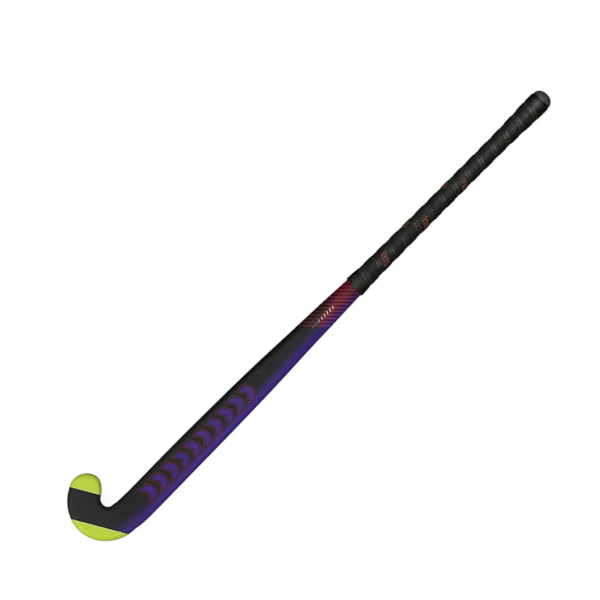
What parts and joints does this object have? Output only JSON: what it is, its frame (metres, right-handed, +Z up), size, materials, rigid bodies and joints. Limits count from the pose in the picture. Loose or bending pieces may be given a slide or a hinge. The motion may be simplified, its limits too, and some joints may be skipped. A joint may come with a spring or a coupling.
{
  "type": "field hockey stick",
  "caption": "Composite field hockey stick: J-shaped head with a flat playing face, bowed shaft that tapers to a round taped grip, domed butt cap.",
  "frame": {"origin": "middle of the object's base: the middle of its box in plan, on the ground it rests on", "axes": "+X along the handle from the head to the butt, +Y towards the toe side, +Z up, which is roughly out of the playing face"},
  "size_m": [0.9274, 0.1176, 0.0509],
  "materials": {
    "shell_lacquer": "satin lacquer over carbon and glass laminate",
    "decal_lime": "lime film under satin lacquer",
    "decal_marks": "purple and red film under satin lacquer",
    "decal_stripes": "red film under satin lacquer",
    "laminate": "bare moulded laminate",
    "foam": "rigid polyurethane foam",
    "grip": "perforated polyurethane chamois with a dull sheen",
    "cushion": "thin foam rubber",
    "tape": "smooth vinyl tape",
    "cap_rubber": "moulded rubber, satin"
  },
  "bodies": {
    "root": {"composite_shell": "shell_lacquer", "head_core": "foam", "toe_side_tube": "laminate", "heel_side_tube": "laminate", "toe_side_foam": "foam", "heel_side_foam": "foam", "end_plug": "laminate", "butt_cap": "cap_rubber", "top_collar": "cap_rubber", "grip_underlay": "cushion", "grip_tape": "grip", "finishing_tape": "tape", "toe_decal": "decal_lime", "heel_decal": "decal_lime", "mark_decal": "decal_marks", "stripe_decal": "decal_stripes"}
  },
  "joints": []
}
